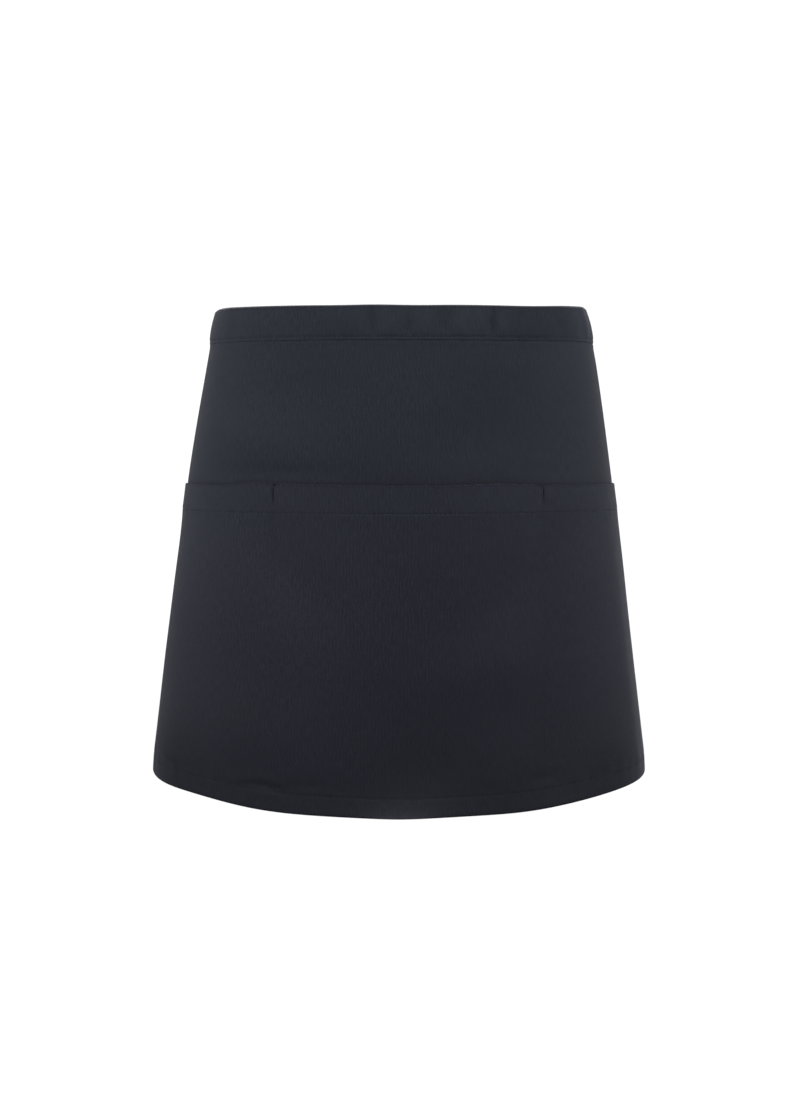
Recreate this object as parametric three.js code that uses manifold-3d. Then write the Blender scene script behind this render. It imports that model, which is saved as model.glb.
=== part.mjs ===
// Short waist apron in black twill, in the form it takes when it is worn.
// A skirt panel hangs from a folded waistband, a pocket panel covers its lower two thirds and is
// sewn into three pockets, and two ties run round the back of the waist into a flat knot.
// Millimetres, +Z up, and the wearer faces -Y. The origin is the middle of the waist, at half the
// height of the waistband.
import * as THREE from "three";
import { mergeVertices } from "three/addons/utils/BufferGeometryUtils.js";
import Module from "manifold-3d";

// Driving dimensions of the cut, laid flat
const FLAT_WIDTH = 580;
const LENGTH = 350;
const BAND_HEIGHT = 24;
const POCKET_MOUTH = 122.5;
const LEFT_DIVIDER = -90.5;
const RIGHT_DIVIDER = 103.5;
const MOUTH_HEM = 20;
const BOTTOM_HEM = 13;
const SIDE_HEM = 10;

// The cloth and how it is sewn
const CLOTH = 1;
const PRESSED_FOLD = 1.7;
const SEAM_GAP = 0.3;
const HEM_STEP = 0.6;

// How the cloth hangs
const HEM_RISE = 20;
const HEM_RISE_ARC = 255;
const HEM_RISE_POWER = 1.5;
const MIDDLE_GAPE = 10;
const SIDE_GAPE = 0.6;
const SLACK_POWER = 1.3;
const BAND_CROWN = 0.5;

// The body that the apron goes round: one row for each level below the top of the waistband.
// halfWidth is across the hips, front and back are how far the cloth stands off the middle, and
// square is how far the ring's four sides are flattened from a plain ellipse.
const FORM = [
  { level: "band top", drop: 0, halfWidth: 133.6, front: 98.7, back: 94, square: 0.02 },
  { level: "band foot", drop: 24, halfWidth: 138.6, front: 102.5, back: 99, square: 0.018 },
  { level: "pocket mouth", drop: 122, halfWidth: 153.4, front: 119, back: 118, square: 0.01 },
  { level: "mid pocket", drop: 232, halfWidth: 166.2, front: 131, back: 132, square: 0.004 },
  { level: "hem", drop: 350, halfWidth: 180.6, front: 138.7, back: 140, square: 0 },
];

// The three pockets, from the wearer's right to the left: their side seams and how far each one's
// mouth stands open halfway between them.
const HALF_WIDTH = FLAT_WIDTH / 2;
const POCKETS = [
  { name: "right pocket", from: -HALF_WIDTH, to: LEFT_DIVIDER, gape: SIDE_GAPE, steps: 18 },
  { name: "middle pocket", from: LEFT_DIVIDER, to: RIGHT_DIVIDER, gape: MIDDLE_GAPE, steps: 18 },
  { name: "left pocket", from: RIGHT_DIVIDER, to: HALF_WIDTH, gape: SIDE_GAPE, steps: 17 },
];

// The free edges behind the hips roll in a little towards the body.
const EDGE_ROLL = 5;
const EDGE_ROLL_WIDTH = 32;

// Ties and knot
const TIE_TUCK = 13;
const TIE_TOP = 10.2;
const TIE_FOOT = -11;
const TIE_GATHER = 45;
const TIE_GATHER_POWER = 1.5;
const TIE_AT_KNOT = 7.5;
const TIE_STEPS = 9;
const KNOT = { width: 25, height: 19, depth: 10, corner: 6, bevel: 2.2 };
const TAIL = { length: 84, topWidth: 11, endWidth: 21, thickness: 1.4 };
const TAIL_LIE = { splay: 0.16, slant: 3, apart: 3, start: 6.3, layer: 1.7 };

const TOP = BAND_HEIGHT / 2;

const SKIRT_TWILL = { color: 0x2b2d34, roughness: 0.9, metalness: 0 };
const POCKET_TWILL = { color: 0x292b32, roughness: 0.9, metalness: 0 };
const BAND_TWILL = { color: 0x2d2f37, roughness: 0.88, metalness: 0 };

// Half of a level ring round the body, from the middle of the front to the middle of the back: an
// ellipse whose front, sides and back are flattened by a third harmonic.
class HalfRing extends THREE.Curve {
  constructor(halfWidth, front, back, square) {
    super();
    this.halfWidth = halfWidth;
    this.front = front;
    this.back = back;
    this.square = square;
  }

  getPoint(t, target = new THREE.Vector3()) {
    const turn = Math.PI * t;
    const across = (Math.sin(turn) + this.square * Math.sin(3 * turn)) / (1 - this.square);
    const along = (Math.cos(turn) - this.square * Math.cos(3 * turn)) / (1 - this.square);
    const depth = along > 0 ? this.front : this.back;
    return target.set(this.halfWidth * across, -depth * along, 0);
  }
}

const formRows = FORM.flatMap((row) => [row.halfWidth, row.front, row.back, row.square]);
const form = new THREE.CubicInterpolant(FORM.map((row) => row.drop), formRows, 4);
const rings = new Map();

// The ring at one level, rounded to a twentieth of a millimetre, which is worked out once.
const LEVELS_IN_MM = 20;

function ringAt(drop) {
  const level = Math.round(drop * LEVELS_IN_MM) / LEVELS_IN_MM;
  if (!rings.has(level)) {
    rings.set(level, new HalfRing(...form.evaluate(level)));
  }
  return rings.get(level);
}

// The point at an arc length from the middle of the front, positive to the wearer's left, at a drop
// below the top of the waistband, and standing out from the skirt panel's outer face.
function onBody(arc, drop, out) {
  const ring = ringAt(drop);
  const t = ring.getUtoTmapping(0, Math.abs(arc));
  const point = ring.getPoint(t);
  const tangent = ring.getTangent(t);
  const side = Math.sign(arc) || 1;
  const x = side * (point.x + tangent.y * out);
  return new THREE.Vector3(x, point.y - tangent.x * out, TOP - drop);
}

// A closed wall of cloth swept round the body. sectionAt gives the section at one arc length as two
// matching rows of corners, one on each face of the cloth; each corner has its drop, how far it
// stands out, and how far it lies ahead of its section. Faces that run up and faces that run down
// are split along the same diagonal, so that layers lie parallel, and both ends are closed.
function sweepRound(arcs, sectionAt) {
  const loops = arcs.map((arc) => {
    const { outer, inner } = sectionAt(arc);
    return [...outer, ...inner.toReversed()];
  });
  const corners = loops[0].length;
  const positions = [];
  arcs.forEach((arc, column) => {
    for (const { drop, out, ahead = 0 } of loops[column]) {
      positions.push(...onBody(arc + ahead, drop, out).toArray());
    }
  });
  const index = [];
  for (let column = 0; column + 1 < arcs.length; column += 1) {
    for (let corner = 0; corner < corners; corner += 1) {
      const next = (corner + 1) % corners;
      const a = column * corners + corner;
      const b = column * corners + next;
      if (loops[column][next].drop >= loops[column][corner].drop) {
        index.push(a, b, b + corners, a, b + corners, a + corners);
      } else {
        index.push(a, b, a + corners, b, b + corners, a + corners);
      }
    }
  }
  const last = (arcs.length - 1) * corners;
  for (let row = 0; row + 1 < corners / 2; row += 1) {
    const [a, b] = [row, row + 1];
    const [c, d] = [corners - 2 - row, corners - 1 - row];
    index.push(a, c, b, a, d, c);
    index.push(last + a, last + b, last + c, last + a, last + c, last + d);
  }
  const geometry = new THREE.BufferGeometry();
  geometry.setAttribute("position", new THREE.Float32BufferAttribute(positions, 3));
  geometry.setIndex(index);
  return geometry;
}

// Even steps from one value to another, both ends included.
function steps(from, to, count) {
  return Array.from({ length: count + 1 }, (_, i) => from + ((to - from) * i) / count);
}

// Every column of the cloth: even steps across each pocket, with a pair of columns at the inner
// edge of each side hem, where the cloth goes from one layer to two.
const hemEdge = HALF_WIDTH - SIDE_HEM;
const hemColumns = [-hemEdge, -hemEdge + HEM_STEP, hemEdge - HEM_STEP, hemEdge];
const pocketColumns = POCKETS.flatMap(({ from, to, steps: count }) => steps(from, to, count));
const COLUMNS = [...new Set([...pocketColumns, ...hemColumns])].sort((a, b) => a - b);

// The rows of the cloth from the pocket mouth to the hem, with a pair of rows at the edge of each
// turned hem.
const mouthHemEdge = POCKET_MOUTH + MOUTH_HEM;
const bottomHemEdge = LENGTH - BOTTOM_HEM;
const LOWER_ROWS = [
  POCKET_MOUTH,
  mouthHemEdge - HEM_STEP,
  ...steps(mouthHemEdge, bottomHemEdge, 6),
  bottomHemEdge + HEM_STEP,
  LENGTH,
];

// The hem is level across the front and rises towards the sides.
function hemDrop(arc) {
  return LENGTH - HEM_RISE * (Math.abs(arc) / HEM_RISE_ARC) ** HEM_RISE_POWER;
}

// A level line below the pocket mouth bends to follow the hem.
function bentDrop(arc, drop) {
  const share = Math.max(0, drop - POCKET_MOUTH) / (LENGTH - POCKET_MOUTH);
  return drop + share * (hemDrop(arc) - LENGTH);
}

// How far the skirt panel stands out: nothing, apart from the roll of its free edges.
function rollAt(arc, drop) {
  const fromEdge = (HALF_WIDTH - Math.abs(arc)) / EDGE_ROLL_WIDTH;
  const roll = fromEdge < 1 ? (1 - fromEdge) ** 2 : 0;
  return -EDGE_ROLL * roll * Math.min(1, Math.max(0, drop - BAND_HEIGHT) / (LENGTH - BAND_HEIGHT));
}

// Where the pocket panel lies slack over the skirt panel: most at the middle of each mouth, and
// nothing along the seams.
function slackAt(arc, drop) {
  const pocket = POCKETS.find(({ to }) => arc <= to) ?? POCKETS[POCKETS.length - 1];
  const across = Math.sin((Math.PI * (arc - pocket.from)) / (pocket.to - pocket.from));
  const down = Math.min(1, Math.max(0, (drop - POCKET_MOUTH) / (LENGTH - POCKET_MOUTH)));
  return pocket.gape * across * (1 - down) ** SLACK_POWER;
}

// Skirt panel: one layer of cloth, with its bottom and side hems turned in behind it.
const SKIRT_TOP = CLOTH + 2 * SEAM_GAP;
const skirtRows = [
  SKIRT_TOP,
  BAND_HEIGHT / 2,
  ...steps(BAND_HEIGHT, POCKET_MOUTH, 4).slice(0, -1),
  ...LOWER_ROWS,
];

function skirtSection(arc) {
  const inSideHem = Math.abs(arc) >= hemEdge;
  const face = (drop, depth) => ({
    drop: bentDrop(arc, drop),
    out: rollAt(arc, drop) - depth,
  });
  const depthAt = (drop) => {
    const inBottomHem = drop > bottomHemEdge;
    const underBand = drop < BAND_HEIGHT + HEM_STEP;
    return (inSideHem || inBottomHem) && !underBand ? PRESSED_FOLD : CLOTH;
  };
  return {
    outer: skirtRows.map((drop) => face(drop, 0)),
    inner: skirtRows.map((drop) => face(drop, depthAt(drop))),
  };
}

// Pocket panel: one layer of cloth over the skirt panel, with a hem turned in along its mouth.
function pocketSection(arc) {
  const face = (drop, layer) => {
    const down = (drop - POCKET_MOUTH) / (LENGTH - POCKET_MOUTH);
    const stand = SEAM_GAP + THREE.MathUtils.lerp(PRESSED_FOLD, CLOTH, down);
    return {
      drop: bentDrop(arc, drop),
      out: rollAt(arc, drop) + slackAt(arc, drop) + stand - layer,
    };
  };
  const layerAt = (drop) => (drop < mouthHemEdge ? PRESSED_FOLD : CLOTH);
  return {
    outer: LOWER_ROWS.map((drop) => face(drop, 0)),
    inner: LOWER_ROWS.map((drop) => face(drop, layerAt(drop))),
  };
}

// Waistband: a strip folded over the top of the skirt panel, open below, and longer than the panel
// by a tuck at each end that takes the tie.
const bandEnds = [-HALF_WIDTH - TIE_TUCK, HALF_WIDTH + TIE_TUCK];
const BAND_COLUMNS = [bandEnds[0], ...COLUMNS, bandEnds[1]];

// The band's section runs up the back layer, over the fold and down the front layer.
function bandSection() {
  const slotFront = SEAM_GAP;
  const slotBack = -CLOTH - SEAM_GAP;
  const slotTop = CLOTH + SEAM_GAP;
  const front = slotFront + CLOTH;
  const back = slotBack - CLOTH;
  const overFold = (share) => THREE.MathUtils.lerp(back, front, share);
  const underFold = (share) => THREE.MathUtils.lerp(slotBack, slotFront, share);
  const middle = BAND_HEIGHT / 2;
  return {
    outer: [
      { drop: BAND_HEIGHT, out: back },
      { drop: middle, out: back },
      { drop: CLOTH, out: back },
      { drop: CLOTH / 4, out: overFold(0.25) },
      { drop: 0, out: overFold(0.5) },
      { drop: CLOTH / 4, out: overFold(0.75) },
      { drop: CLOTH, out: front },
      { drop: middle, out: front + BAND_CROWN },
      { drop: BAND_HEIGHT, out: front },
    ],
    inner: [
      { drop: BAND_HEIGHT, out: slotBack },
      { drop: middle, out: slotBack },
      { drop: slotTop, out: slotBack },
      { drop: slotTop, out: underFold(0.25) },
      { drop: slotTop, out: underFold(0.5) },
      { drop: slotTop, out: underFold(0.75) },
      { drop: slotTop, out: slotFront },
      { drop: middle, out: slotFront },
      { drop: BAND_HEIGHT, out: slotFront },
    ],
  };
}

// Tie: a flat strap tucked into the end of the waistband, which gathers as it nears the knot and
// comes up square to it.
const waist = ringAt(TOP);
const halfWaist = waist.getLength();
const tieStart = HALF_WIDTH + SEAM_GAP;
const tieEnd = halfWaist - KNOT.width / 2 - SEAM_GAP;

function tieSection(arc) {
  const gathered = Math.max(0, 1 - (tieEnd - Math.abs(arc)) / TIE_GATHER) ** TIE_GATHER_POWER;
  const square = Math.max(0, (Math.abs(arc) - bandEnds[1]) / (tieEnd - bandEnds[1]));
  const top = TOP - THREE.MathUtils.lerp(TIE_TOP, TIE_AT_KNOT, gathered);
  const foot = TOP - THREE.MathUtils.lerp(TIE_FOOT, -TIE_AT_KNOT, gathered);
  const edge = (drop, out) => {
    const ahead = Math.sign(arc) * square * (ringAt(drop).getLength() - halfWaist);
    return { drop, out, ahead };
  };
  return {
    outer: [edge(top, 0), edge(TOP, 0), edge(foot, 0)],
    inner: [edge(top, -CLOTH), edge(TOP, -CLOTH), edge(foot, -CLOTH)],
  };
}

function tie(side) {
  const arcs = [tieStart, ...steps(bandEnds[1], tieEnd, TIE_STEPS)].map((arc) => side * arc);
  return sweepRound(arcs.sort((a, b) => a - b), tieSection);
}

// A tail of the knot: a flat strap end that widens as it hangs.
function tail(side) {
  const outline = new THREE.Shape();
  outline.moveTo(-TAIL.topWidth / 2, 0);
  outline.lineTo(-TAIL.endWidth / 2, -TAIL.length);
  outline.lineTo(TAIL.endWidth / 2, -TAIL.length - side * TAIL_LIE.slant);
  outline.lineTo(TAIL.topWidth / 2, 0);
  const strap = new THREE.ExtrudeGeometry(outline, {
    depth: TAIL.thickness,
    bevelEnabled: false,
  });
  const inset = (KNOT.depth - TAIL.thickness) / 2 + side * TAIL_LIE.layer;
  return strap
    .translate(0, 0, inset)
    .rotateZ(side * TAIL_LIE.splay)
    .translate(side * TAIL_LIE.apart, -TAIL_LIE.start, 0);
}

// The wrapped middle of the knot: a rounded block with eased edges.
function knotWrap() {
  const across = KNOT.width / 2 - KNOT.bevel;
  const up = KNOT.height / 2 - KNOT.bevel;
  const round = KNOT.corner;
  const outline = new THREE.Shape();
  outline.moveTo(-across + round, -up);
  outline.lineTo(across - round, -up);
  outline.absarc(across - round, -up + round, round, -Math.PI / 2, 0, false);
  outline.absarc(across - round, up - round, round, 0, Math.PI / 2, false);
  outline.absarc(-across + round, up - round, round, Math.PI / 2, Math.PI, false);
  outline.absarc(-across + round, -up + round, round, Math.PI, 1.5 * Math.PI, false);
  return new THREE.ExtrudeGeometry(outline, {
    depth: KNOT.depth - 2 * KNOT.bevel,
    bevelThickness: KNOT.bevel,
    bevelSize: KNOT.bevel,
    bevelSegments: 3,
    curveSegments: 5,
  }).translate(0, 0, KNOT.bevel);
}

const wasm = await Module();
wasm.setup();
const MERGE_DISTANCE = 1e-4;

// A closed geometry as a solid that can be joined to others.
function solidOf(geometry) {
  const bare = geometry.clone();
  bare.deleteAttribute("normal");
  bare.deleteAttribute("uv");
  const merged = mergeVertices(bare, MERGE_DISTANCE);
  return new wasm.Manifold(
    new wasm.Mesh({
      numProp: 3,
      vertProperties: merged.attributes.position.array,
      triVerts: new Uint32Array(merged.index.array),
    }),
  );
}

// Knot: the wrap and both tails in one piece, drawn facing the viewer and then stood up behind the
// waist, with its inner face a little inside the ties.
function knot() {
  const joined = solidOf(knotWrap()).add(solidOf(tail(-1))).add(solidOf(tail(1)));
  const { numProp, vertProperties, triVerts } = joined.getMesh();
  const geometry = new THREE.BufferGeometry();
  geometry.setAttribute("position", new THREE.Float32BufferAttribute(vertProperties, numProp));
  geometry.setIndex(Array.from(triVerts));
  return geometry;
}

// A named piece with a material of its own in one of the finishes.
function piece(name, geometry, finish) {
  const mesh = new THREE.Mesh(geometry, new THREE.MeshStandardMaterial(finish));
  mesh.name = name;
  return mesh;
}

const apron = new THREE.Group();
apron.name = "waist_apron";
apron.add(piece("skirt_panel", sweepRound(COLUMNS, skirtSection), SKIRT_TWILL));
apron.add(piece("pocket_panel", sweepRound(COLUMNS, pocketSection), POCKET_TWILL));
apron.add(piece("waistband", sweepRound(BAND_COLUMNS, bandSection), BAND_TWILL));
apron.add(piece("tie_right", tie(-1), BAND_TWILL));
apron.add(piece("tie_left", tie(1), BAND_TWILL));

const knotAtBack = piece("tie_knot", knot(), BAND_TWILL);
knotAtBack.rotation.set(Math.PI / 2, 0, Math.PI, "ZXY");
knotAtBack.position.set(0, onBody(halfWaist, TOP, 0).y - KNOT.depth / 2, 0);
apron.add(knotAtBack);

export default apron;
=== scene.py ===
# Short waist apron in black twill, dressed over its fixed frame: two sewn panels, a folded
# waistband, and ties knotted behind. Lengths along the cloth are in millimetres, and every mesh
# is in metres in the frame's own axes: +Z up, the wearer facing -Y, the origin mid waist. Right and
# left are the wearer's, so the right hip is at -X.
import math
from functools import partial

import bpy
import numpy as np
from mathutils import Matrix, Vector


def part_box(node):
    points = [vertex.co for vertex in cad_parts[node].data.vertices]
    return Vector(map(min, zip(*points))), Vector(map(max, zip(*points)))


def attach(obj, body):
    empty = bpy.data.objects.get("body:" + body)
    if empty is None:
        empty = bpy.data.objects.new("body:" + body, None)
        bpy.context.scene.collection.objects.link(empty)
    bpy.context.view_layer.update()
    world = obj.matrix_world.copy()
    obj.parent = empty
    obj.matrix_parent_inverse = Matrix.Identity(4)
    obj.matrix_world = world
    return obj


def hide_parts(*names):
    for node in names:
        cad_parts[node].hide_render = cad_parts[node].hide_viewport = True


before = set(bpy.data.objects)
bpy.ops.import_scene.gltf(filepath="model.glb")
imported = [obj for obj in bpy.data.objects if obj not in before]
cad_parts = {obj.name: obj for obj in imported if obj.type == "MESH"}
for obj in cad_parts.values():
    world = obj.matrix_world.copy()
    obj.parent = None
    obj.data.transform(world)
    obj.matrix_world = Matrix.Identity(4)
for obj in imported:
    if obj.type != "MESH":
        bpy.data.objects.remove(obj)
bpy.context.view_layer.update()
scene = bpy.context.scene

# Camera, floor and light
# A plain white studio. The floor lies far below the apron, which is held up at the waist. Soft lights
# stand above the front, beside the hips and behind, and are named by the side that the camera sees.
LENS = 85
SENSOR = 36
CAMERA_PLACE = (0, -1.9253, -0.0808)
CAMERA_DIP = math.radians(2.6)
FLOOR_LEVEL = -1.05
FLOOR_REACH = 9
FLOOR_GREY = 0.95
FLOOR_ROUGHNESS = 0.9
SURROUND = 1.06
LIGHTS = (
    # Name, place, target, width and height, spread in degrees, power
    ("light_above_front", (0, -0.75, 0.95), (0, -0.1, 0), (1.2, 0.4), 180, 12.9),
    ("light_front_left", (-0.95, -0.55, 0.35), (-0.14, -0.03, 0.02), (0.4, 0.4), 60, 6.3),
    ("light_front_right", (0.95, -0.55, 0.35), (0.14, -0.03, 0.02), (0.4, 0.4), 60, 5),
    ("light_right", (0.9, -0.15, 0.8), (0.14, 0, 0), (0.4, 0.6), 180, 8.3),
    ("light_behind", (0, 1.2, 0.6), (0, 0, -0.15), (1.2, 0.6), 180, 24),
    ("light_behind_right", (0.6, 1.05, -0.28), (0.16, 0, -0.28), (0.15, 0.3), 20, 0.04),
)

camera_data = bpy.data.cameras.new("camera")
camera_data.lens = LENS
camera_data.sensor_width = SENSOR
camera = bpy.data.objects.new("camera", camera_data)
camera.location = CAMERA_PLACE
camera.rotation_euler = (math.pi / 2 - CAMERA_DIP, 0, 0)
scene.collection.objects.link(camera)
scene.camera = camera
scene.view_settings.view_transform = "Standard"
scene.view_settings.look = "None"

world = bpy.data.worlds.new("white_surround")
world.use_nodes = True
surround = world.node_tree.nodes["Background"]
surround.inputs["Color"].default_value = (1, 1, 1, 1)
surround.inputs["Strength"].default_value = SURROUND
scene.world = world

for name, stand, target, size, spread, power in LIGHTS:
    lamp = bpy.data.lights.new(name, "AREA")
    lamp.shape = "RECTANGLE"
    lamp.size, lamp.size_y = size
    lamp.spread = math.radians(spread)
    lamp.energy = power
    light = bpy.data.objects.new(name, lamp)
    light.location = stand
    light.rotation_euler = (Vector(target) - Vector(stand)).to_track_quat("-Z", "Y").to_euler()
    scene.collection.objects.link(light)

floor_mesh = bpy.data.meshes.new("floor")
floor_corners = np.array([(-1, -1), (1, -1), (1, 1), (-1, 1)]) * FLOOR_REACH
floor_points = np.column_stack([floor_corners, np.full(len(floor_corners), FLOOR_LEVEL)])
floor_mesh.from_pydata(floor_points.tolist(), [], [(0, 1, 2, 3)])
floor_paint = bpy.data.materials.new("white_floor")
floor_paint.use_nodes = True
floor_shader = floor_paint.node_tree.nodes["Principled BSDF"]
floor_shader.inputs["Base Color"].default_value = (FLOOR_GREY, FLOOR_GREY, FLOOR_GREY, 1)
floor_shader.inputs["Roughness"].default_value = FLOOR_ROUGHNESS
floor_mesh.materials.append(floor_paint)
floor = bpy.data.objects.new("floor", floor_mesh)
scene.collection.objects.link(floor)

# Skirt panel
# The main rectangle of black cotton twill, cut 580 by 350 mm. Its top edge is sewn into the
# waistband, it turns round both hips, and its bottom and side edges are turned in and stitched.
MM = 0.001
band_low, band_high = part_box("waistband")
TOP = round(band_high.z / MM, 3)
BAND_HEIGHT = round((band_high.z - band_low.z) / MM, 3)
HALF_WIDTH = 290
LENGTH = 350
POCKET_MOUTH = 124
BOTTOM_HEM = 13.4
SIDE_HEM = 10
SIDE_STITCH = 1.2
CLOTH = 0.7
PRESSED_FOLD = 1.2
SEAM_GAP = 0.2
SKIRT_TOP = CLOTH + 2 * SEAM_GAP
HEM_LINE = LENGTH - BOTTOM_HEM
SIDE_LINE = HALF_WIDTH - SIDE_HEM + SIDE_STITCH
SKIRT_GRID = 2.6
SKIRT_DYE = (0.0028, 0.0033, 0.0051)

# The worn form, as level rings at some drops: half sizes to the side, front and back, how square the
# ring is, and how far it sways to the left.
FORM = {
    "drop": (0, 24, 122, 232, 350),
    "half_width": (133.4, 138.4, 153.9, 166.9, 181.9),
    "front": (98.7, 102.5, 119, 131, 138.7),
    "back": (94, 99, 118, 132, 140),
    "square": (0.02, 0.018, 0.01, 0.004, 0),
    "sway": (0.7, 1.15, -0.1, -0.45, -0.7),
}


def through_knots(x, knots, values):
    """A cubic through the knots, whose slope at each is the mean of the two chords beside it."""
    knots, values = np.array(knots, float), np.array(values, float)
    chords = np.diff(values) / np.diff(knots)
    slopes = np.concatenate([chords[:1], (chords[1:] + chords[:-1]) / 2, chords[-1:]])
    i = np.clip(np.searchsorted(knots, x) - 1, 0, len(knots) - 2)
    span = knots[i + 1] - knots[i]
    t = (x - knots[i]) / span
    rise = values[i + 1] - values[i]
    ease = t * t * (3 - 2 * t)
    lead = span * slopes[i] * t * (1 - t) ** 2
    trail = span * slopes[i + 1] * t * t * (1 - t)
    return values[i] + rise * ease + lead - trail


def form_at(drop, column):
    """One column of the worn form at any drop."""
    return through_knots(drop, FORM["drop"], FORM[column])


def ring(turn, drop):
    """A level ring round the body: an ellipse flattened by a third harmonic, and its direction."""
    half_width, square = form_at(drop, "half_width"), form_at(drop, "square")
    across = (np.sin(turn) + square * np.sin(3 * turn)) / (1 - square)
    along = (np.cos(turn) - square * np.cos(3 * turn)) / (1 - square)
    depth = np.where(along > 0, form_at(drop, "front"), form_at(drop, "back"))
    run_x = half_width * (np.cos(turn) + 3 * square * np.cos(3 * turn)) / (1 - square)
    run_y = depth * (np.sin(turn) - 3 * square * np.sin(3 * turn)) / (1 - square)
    return half_width * across, -depth * along, run_x, run_y


# How far round each level ring a length of cloth goes. The length of the ring is added up in short
# steps from centre front, and read the other way round for every whole millimetre.
LEVEL_STEP = 3
ABOVE_TOP = 6
BELOW_HEM = 12
LEVELS = np.arange(-ABOVE_TOP, LENGTH + BELOW_HEM, LEVEL_STEP)
TURN_STEPS = 900
TURNS = np.linspace(0, np.pi, TURN_STEPS + 1)
LONGEST_REACH = 450
REACHES = np.arange(0, LONGEST_REACH)
SHORT_OF_LAST = 1.001
turn_grid, level_grid = np.meshgrid(TURNS, LEVELS)
speed = np.hypot(*ring(turn_grid, level_grid)[2:])
pace = (speed[:, 1:] + speed[:, :-1]) / 2 * (TURNS[1] - TURNS[0])
run = np.pad(np.cumsum(pace, axis=1), ((0, 0), (1, 0)))
turn_table = np.stack([np.interp(REACHES, lengths, TURNS) for lengths in run])


def turn_at(reach, drop):
    """How far round the ring a length of cloth goes, read between the four nearest table entries."""
    row = np.clip((drop - LEVELS[0]) / LEVEL_STEP, 0, len(LEVELS) - SHORT_OF_LAST)
    column = np.clip(reach, 0, len(REACHES) - SHORT_OF_LAST)
    i, j = row.astype(int), column.astype(int)
    p, q = row - i, column - j
    near = turn_table[i, j] * (1 - q) + turn_table[i, j + 1] * q
    far = turn_table[i + 1, j] * (1 - q) + turn_table[i + 1, j + 1] * q
    return near * (1 - p) + far * p


def place(arc, drop, out):
    """Points in metres: a length of cloth round from centre front, a drop, and a stand-off."""
    arc, drop, out = np.broadcast_arrays(*(np.asarray(v, float) for v in (arc, drop, out)))
    x, y, run_x, run_y = ring(turn_at(np.abs(arc), drop), drop)
    length = np.hypot(run_x, run_y)
    side = np.where(arc < 0, -1, 1)
    sideways = side * (x + run_y / length * out) + form_at(drop, "sway")
    points = [sideways, y - run_x / length * out, TOP - drop]
    return np.stack(points, axis=-1) * MM


def hump(x, middle, reach):
    """A smooth hump of height 1 at the middle, which dies away at about twice its reach."""
    return np.exp(-(((x - middle) / reach) ** 2))


def step_up(x, edge, reach):
    """A soft step from 0 to 1 across an edge, by a hyperbolic tangent."""
    return 0.5 + 0.5 * np.tanh((x - edge) / reach)


def ripple(x, wave, start):
    """An uneven ripple of height about 1: three sines whose waves are not multiples of each other."""
    first = np.sin(2 * np.pi * x / wave + start)
    second = np.sin(2 * np.pi * x / (wave * 1.62) + 2.3 * start)
    third = np.sin(2 * np.pi * x / (wave * 0.71) + 3.7 * start)
    return 0.5 * first + 0.33 * second + 0.17 * third


HEM_RISE = 20
HEM_RISE_ARC = 255
HEM_RISE_POWER = 1.5
RIGHT_HIP_RISE = 0.85
HEM_SAG = 1.2


def bent_drop(arc, row):
    """The drop of a row of the cloth: rows below the pocket mouth bend to follow the hem, which
    rises towards the hips, a little more at the right one, and sags a little on the way there."""
    share = np.maximum(0, row - POCKET_MOUTH) / (LENGTH - POCKET_MOUTH)
    rise = HEM_RISE * (np.abs(arc) / HEM_RISE_ARC) ** HEM_RISE_POWER
    rise = rise + RIGHT_HIP_RISE * hump(arc, middle=-145, reach=45)
    sag = HEM_SAG * hump(np.abs(arc), middle=90, reach=42)
    return row - share * (rise - sag)


def each_row(table):
    """The rows of a table that is kept as named columns, each as a set of named values."""
    return [dict(zip(table, row)) for row in zip(*table.values())]


PUCKERS = {
    "middle": (-98, -86, -112, -60, 104, 160, -192),
    "above": (18.8, 17.4, 16.6, 21, 23, 17, 17),
    "depth": (0.9, 0.6, 0.5, 0.35, 0.6, 0.4, 0.5),
    "reach": (9, 7, 6, 20, 11, 6, 18),
    "width": (2.8, 2.4, 2, 4, 3.6, 2.4, 2.6),
    "lean": (0.05, -0.06, 0.12, 0.02, 0.06, -0.1, -0.1),
}


def puckers(arc, row):
    """Small folds above the hem, by the feet of the dividing seams and at the hips, one for each row of
    the table: the cloth swells out above a short slanting line and falls back sharply on it."""

    def pucker(middle, above, depth, reach, width, lean):
        below = row - (LENGTH - above - lean * (arc - middle))
        swell = hump(below, -width, 1.5 * width) * (1 - step_up(below, 0, 0.3 * width))
        return depth * hump(arc, middle, reach) * swell

    return sum(pucker(**values) for values in each_row(PUCKERS))


FOLDS = {
    "middle": (-73, -98, -105, 66, 80, 72, 56, 68, -58, 120, -110),
    "level": (186, 236, 310, 250, 196, 322, 90, 27, 25, 128, 93),
    "height": (-1.1, 1.1, 2.8, 0.8, -0.7, 0.8, -1, 1.2, 1.4, 0.8, 0.9),
    "length": (55, 65, 65, 45, 38, 25, 40, 28, 34, 28, 45),
    "width": (24, 36, 45, 22, 20, 36, 24, 22, 22, 22, 20),
    "slant": (45, 50, 12, -5, -35, 0, -10, 0, 0, 0, 10),
}
# How strongly the soft folds get painted light where they face up and painted shade where they face down.
FOLD_PAINTED_LIGHT = 2.8


def soft_folds(arc, row):
    """Broad soft folds of the hanging cloth, one ridge or hollow for each row of the table: a hump
    across a slanting line, which dies away along it."""

    def fold(middle, level, height, length, width, slant):
        turn = math.radians(slant)
        along = (arc - middle) * math.cos(turn) + (row - level) * math.sin(turn)
        across = (row - level) * math.cos(turn) - (arc - middle) * math.sin(turn)
        return height * hump(along, 0, length) * hump(across, 0, width)

    return sum(fold(**values) for values in each_row(FOLDS))


def fold_painted_light(arc, row):
    """Painted light and shade on the soft folds: paler where one faces up and darker where it faces down,
    by its slope down the cloth.
    """
    return FOLD_PAINTED_LIGHT * (soft_folds(arc, row + 1) - soft_folds(arc, row - 1)) / 2


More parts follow.
